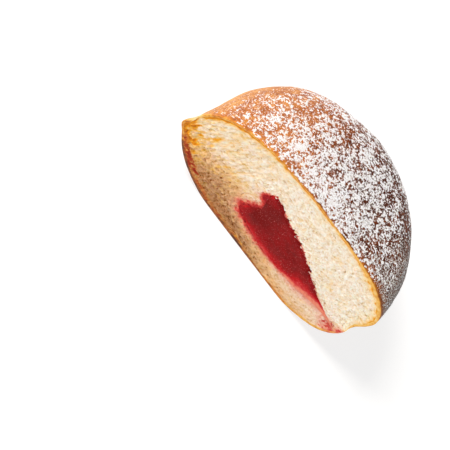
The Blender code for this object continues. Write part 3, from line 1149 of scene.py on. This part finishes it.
@dataclass
class Filling:
    """The jelly as one closed surface: its cut face, and the bulb behind it in the pocket."""

    wedge: Wedge
    place: Place
    lines: Columns
    face_rows: int = 70
    bulb_rows: int = 12
    tuck: float = 0.9
    row_power: float = 1.25
    edge_sink: float = 0.9
    upper_sink: float = 0.28
    grain_height: float = 0.03
    swell_height: float = 0.12
    proud: float = 0.06
    bulb_start: float = 1.0
    bulb_share: float = 0.995

    def build(self, jelly: bpy.types.Material) -> bpy.types.Object:
        """Makes the piece.

        The face runs from the focus to the edge, which is tucked a little way under the crumb.  Its height
        is a low swell less grain, and sinks at the edge.  The bulb closes in as the pocket does.
        """
        focus, line = np.array(self.wedge.focus), self.lines.jelly_edge
        edge = line + self.tuck * outward(line, 2)
        share = 1 - (1 - np.linspace(0, 1, self.face_rows + 1)[1:]) ** self.row_power
        flat = focus + (edge - focus) * share[:, None, None]
        from_edge = distance_to_line(flat, edge)
        sunk = self.upper_sink * (1 - soft_side(flat)) * ease(from_edge, 2.4, 0.6)
        sunk = self.edge_sink * ease(from_edge, 0.9, 0.25) + sunk
        grain = self.grain_height * soft_noise(flat, 1.2, 151, 2)
        grain = grain + self.swell_height * soft_noise(flat, 4.5, 152) - self.proud

        turn = np.linspace(0, math.pi / 2, self.bulb_rows + 1)[:-1, None]
        ring = focus + self.bulb_share * np.cos(turn)[..., None] * (line - focus)
        bulb = set_in(ring, self.bulb_start + (self.wedge.depth - self.bulb_start) * np.sin(turn))

        rows = np.concatenate([set_in(flat, sunk + grain), bulb])
        tips = set_in(np.array([self.wedge.focus] * 2), np.array([sunk[0].mean(), self.wedge.depth]))
        points = np.concatenate([rows.reshape(-1, 3), tips])
        triangles = sleeve_triangles(*rows.shape[:2])
        piece = add_mesh("jelly_filling", self.place.metres(points), triangles, jelly)
        write_attribute(piece, "thin", self.thinness(flat), np.zeros(bulb.shape[:2]), (0.1, 0.0))
        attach(piece, "root")
        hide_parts("jelly")
        return piece

    def thinness(self, flat: Array) -> Array:
        """How thin the jelly lies: most at its lower edge, in the head's two corners and along the tail."""
        edge = self.lines.jelly_edge
        below = edge[:, 1] + 0.08 * np.maximum(edge[:, 0], 0.0) < -7.5
        from_lower, from_upper = (distance_to_line(flat, edge[side]) for side in (below, ~below))
        low = from_upper / (from_lower + from_upper + 0.01)
        x, z = np.moveaxis(flat, -1, 0)
        rim = 0.55 * np.exp(-((from_lower / 3.4) ** 1.3))
        deep = 0.14 * bell((x + 3.5) / 3.5, (z + 5) / 6)
        head = 0.30 * bell((x + 6) / 3, (z - 6) / 3.5) + 0.55 * bell((x + 8.6) / 1.5, (z - 8) / 2.2)
        tail = ease(x, 12, 30) * (0.75 * low**1.3 - 0.05) + 0.4 * ease(x, 27, 36)
        cloud = 0.16 * soft_noise(flat, 3.4, 161, 2) + 0.10 * soft_noise(flat, 1.1, 162, 2)
        return np.clip(rim + head + 0.22 * ease(x, -8, 8) + tail - deep - 0.06 + cloud, 0, 1)


class Lump(Enum):
    """Kinds of sugar grain.

    Each gives its piece's name, how many there are at most, least and greatest half width, points round,
    rings, the side of the cells that hold one each, and how far they keep from the lace's edges.
    """

    CLUMP = ("sugar_clumps", 8200, 0.17, 0.30, 6, 2, 0.30, 0.22)
    CRUMB = ("sugar_crumbs", 19500, 0.11, 0.18, 5, 1, 0.18, 0.06)
    GRAIN = ("sugar_grains", 14000, 0.06, 0.11, 4, 1, 0.12, -0.04)


@dataclass
class SugarCoat:
    """Sugar scattered over the crust, one mesh for each kind of lump.

    Stray is the share that lies off the lace.  A lump's points move in or out by up to half of rough, and
    small_power makes small lumps the common ones.  Breadth and height are shares of a lump's half width:
    the least, and what luck adds.
    """

    crust: Crust
    seed: int = 20
    tries: int = 9
    stray: float = 0.04
    raised: float = 0.3
    rough: float = 0.5
    small_power: float = 1.6
    breadth: tuple = (0.75, 0.5)
    height: tuple = (0.3, 0.25)

    def scatter(
        self, count: int, spacing: float, margin: float, luck: np.random.Generator
    ) -> tuple[Array, Array]:
        """Places on the crust, drawn evenly by area and kept where the sugar's lace lies.

        Args:
            count: How many at most.
            spacing: Side in millimetres of the cells that hold one place each.
            margin: How far they keep from the lace's edges.
            luck: The random source.

        Returns:
            Points and unit normals, as (count, 3) each.
        """
        skin = self.crust.outside
        down, across = skin[1:] - skin[:-1], np.roll(skin, -1, axis=1) - skin
        area = np.linalg.norm(np.cross(down, across[:-1]), axis=-1) * (skin[1:, :, 2] > 0)
        chosen = luck.choice(area.size, self.tries * count, p=(area / area.sum()).ravel())
        row, column = np.divmod(chosen, skin.shape[1])
        beside = (column + 1) % skin.shape[1]
        s, t = luck.random((2, len(chosen), 1))
        mixed = []
        for grid in (skin, grid_normals(skin)):
            upper = grid[row, column] * (1 - s) + grid[row, beside] * s
            lower = grid[row + 1, column] * (1 - s) + grid[row + 1, beside] * s
            mixed.append(upper * (1 - t) + lower * t)
        places, normals = mixed
        chance = self.crust.lace(places, margin) + self.stray * self.crust.sugar_share(places)
        kept = luck.random(len(places)) < chance
        places, normals = places[kept], normals[kept]
        first = np.sort(np.unique(np.floor(places / spacing), axis=0, return_index=True)[1])[:count]
        return places[first], unit(normals[first])

    @staticmethod
    def ball(around: int, rings: int) -> Array:
        """Corners of a ball of radius 1: rings from +Z down, every other one turned half a step, and tips."""
        ring = np.arange(rings)[:, None]
        lift = (ring + 1) / (rings + 1) * math.pi
        turn = (np.arange(around) + 0.5 * (ring % 2)) / around * TAU
        height = np.broadcast_to(np.cos(lift), turn.shape)
        sides = np.stack([np.sin(lift) * np.cos(turn), np.sin(lift) * np.sin(turn), height], axis=-1)
        return np.concatenate([sides.reshape(-1, 3), [[0.0, 0.0, 1.0], [0.0, 0.0, -1.0]]])

    def build(self, kind: Lump, sugar: bpy.types.Material) -> bpy.types.Object:
        """Makes one kind of lump.

        A lump is a small ball of rings whose points are each moved in or out at random, stretched to its
        own three half widths, turned about the skin's normal and set so that a third of it is in the skin.

        Args:
            kind: Which lumps.
            sugar: Their finish.

        Returns:
            The piece.
        """
        name, most, least, greatest, around, rings, spacing, margin = kind.value
        luck = np.random.default_rng(self.seed + around)
        places, normals = self.scatter(most, spacing, margin, luck)
        count, ball = len(places), self.ball(around, rings)
        width = least + (greatest - least) * luck.random((count, 1)) ** self.small_power
        flat = self.breadth[0] + self.breadth[1] * luck.random((count, 2))
        tall = self.height[0] + self.height[1] * luck.random((count, 1))
        halves = width * np.concatenate([flat, tall], axis=1)
        shape = ball * (1 + self.rough * (luck.random((count, len(ball), 1)) - 0.5)) * halves[:, None]
        helper = np.where(np.abs(normals[:, 2:]) < 0.9, [[0.0, 0.0, 1.0]], [[1.0, 0.0, 0.0]])
        side = unit(np.cross(normals, helper))
        angle = TAU * luck.random((count, 1))
        first = np.cos(angle) * side + np.sin(angle) * np.cross(normals, side)
        axes = np.stack([first, np.cross(normals, first), normals], axis=1)
        points = places[:, None] + shape @ axes + (self.raised * halves[:, 2:] * normals)[:, None]
        triangles = sleeve_triangles(rings, around) + (np.arange(count) * len(ball))[:, None, None]
        corners = self.crust.place.metres(points.reshape(-1, 3))
        piece = add_mesh(name, corners, triangles.reshape(-1, 3), sugar)
        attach(piece, "root")
        return piece


# ---------------------------------------------------------------------------------------------------------
# Studio


@dataclass(frozen=True)
class Studio:
    """A plain white table, a broad soft light from the upper left of the picture, and the camera."""

    place: Place
    distance: float = 0.8
    pitch: float = 30.27
    yaw: float = 9.99
    roll: float = -52.51
    aim_across: float = 50.66
    aim_down: float = -3.12
    scale: float = 3.127
    picture: float = 450.0
    sensor: float = 36.0
    walls: float = 0.40
    ceiling: float = 0.05
    wall_top: tuple = (0.08, 0.30)
    table_half: float = 3.0
    table_glow: float = 0.80
    lamp_distance: float = 2.0
    lamps: tuple = (
        ("key", (-0.62, -0.04, 0.78), 0.7, 52.0, "FFFBF5"),
        ("fill", (-0.15, -0.90, 0.40), 1.4, 15.0, "FFFFFF"),
    )

    def axes(self) -> tuple[Array, Array, Array]:
        """The camera's right, up and backward directions, from its yaw about Z, pitch and roll."""
        turns = np.radians([self.pitch, self.yaw, self.roll])
        (sa, sb, sr), (ca, cb, cr) = np.sin(turns), np.cos(turns)
        level = np.array([cb, -sb * sa, sb * ca])
        steep = np.array([0.0, ca, sa])
        back = np.array([-sb, -cb * sa, cb * ca])
        return level * cr - steep * sr, level * sr + steep * cr, back

    def add_camera(self) -> None:
        """Puts the camera where the doughnut's middle falls right of the picture's middle."""
        right, up, back = self.axes()
        across, above = self.aim_across / self.scale * MM, -self.aim_down / self.scale * MM
        position = self.place.middle - across * right - above * up + self.distance * back
        data = bpy.data.cameras.new("camera")
        data.sensor_width = self.sensor
        data.lens = self.scale / MM * self.distance * self.sensor / self.picture
        data.clip_start = 0.05
        camera = bpy.data.objects.new("camera", data)
        turned = Matrix(np.stack([right, up, back], axis=1).tolist()).to_4x4()
        camera.matrix_world = Matrix.Translation(Vector(position.tolist())) @ turned
        bpy.context.scene.collection.objects.link(camera)
        bpy.context.scene.camera = camera

    def add_light(self, name: str, toward: tuple, size: float, watts: float, colour: str) -> None:
        """Adds a square area light.

        Args:
            name: The light's name.
            toward: Where it stands, as a direction from the doughnut.
            size: Its side in metres.
            watts: Its power.
            colour: Its hex value.
        """
        direction = np.array(toward) / np.linalg.norm(toward)
        data = bpy.data.lights.new(name, "AREA")
        data.size = size
        data.energy = watts
        data.color = hex_colour(colour)[:3]
        light = bpy.data.objects.new(name, data)
        light.location = Vector((self.place.middle + self.lamp_distance * direction).tolist())
        light.rotation_euler = Vector(direction.tolist()).to_track_quat("Z", "Y").to_euler()
        bpy.context.scene.collection.objects.link(light)

    def pale_room(self) -> bpy.types.World:
        """A room with white walls and a dimmer ceiling: brightness falls with height above the horizon."""
        world = bpy.data.worlds.new("pale_room")
        world.use_nodes = True
        tree = world.node_tree
        tree.nodes.clear()
        direction = add_node(tree, "TexCoord").outputs["Generated"]
        height = add_node(tree, "SeparateXYZ", {"Vector": direction}).outputs["Z"]
        low, high = self.wall_top
        span = {"Value": height, "From Min": low, "From Max": high}
        span |= {"To Min": self.walls, "To Max": self.ceiling}
        strength = add_node(tree, "MapRange", span, interpolation_type="SMOOTHSTEP").outputs["Result"]
        light = add_node(tree, "Background", {"Color": hex_colour("FFFFFF"), "Strength": strength})
        add_node(tree, "OutputWorld", {"Surface": light.outputs["Background"]})
        return world

    def add_floor(self) -> None:
        """A wide light table at the base, lit from under its matte sheet, so that shadows stay faint."""
        corners = ((-1.0, -1.0), (1.0, -1.0), (1.0, 1.0), (-1.0, 1.0))
        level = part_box("dough")[0].z
        points = np.array([(x * self.table_half, y * self.table_half, level) for x, y in corners])
        material, add = new_material("white_table")
        place = add("TexCoord").outputs["Object"]
        cloud = add("TexNoise", {"Vector": place, "Scale": 3.0}).outputs["Fac"]
        grey = add("ValToRGB", {"Fac": cloud}, ((0.3, "8E8E8E"), (0.7, "929292"))).outputs["Color"]
        surface = {
            "Base Color": grey,
            "Emission Color": hex_colour("FFFFFF"),
            "Emission Strength": self.table_glow,
            "Roughness": 0.9,
            "Specular IOR Level": 0.1,
        }
        add("OutputMaterial", {"Surface": add("BsdfPrincipled", surface).outputs["BSDF"]})
        floor = add_mesh("table", points, np.array([[0, 1, 2], [0, 2, 3]]), material)

    def build(self) -> None:
        """Sets the world, the lights, the floor and the camera."""
        scene = bpy.context.scene
        scene.view_settings.view_transform = "Standard"
        scene.world = self.pale_room()
        for lamp in self.lamps:
            self.add_light(*lamp)
        self.add_floor()
        self.add_camera()


def main() -> None:
    """Builds the doughnut's pieces, then the studio round them."""
    logging.basicConfig(level=logging.INFO, format="%(message)s")
    body, wedge = Body(), Wedge()
    place = Place.on_solid(body)
    lines = Columns.fan(body, wedge, 512)
    crust = Crust(body, lines, place)
    coat, sugar = SugarCoat(crust), IcingSugar().material()
    pieces = [
        crust.build(FriedCrust().material()),
        Crumb(crust, wedge).build(SoftCrumb().material()),
        Filling(wedge, place, lines).build(SetJelly().material()),
        *(coat.build(kind, sugar) for kind in Lump),
    ]
    for piece in pieces:
        LOG.info("%s: %d triangles", piece.name, len(piece.data.polygons))
    Studio(place).build()


if __name__ == "__main__":
    main()
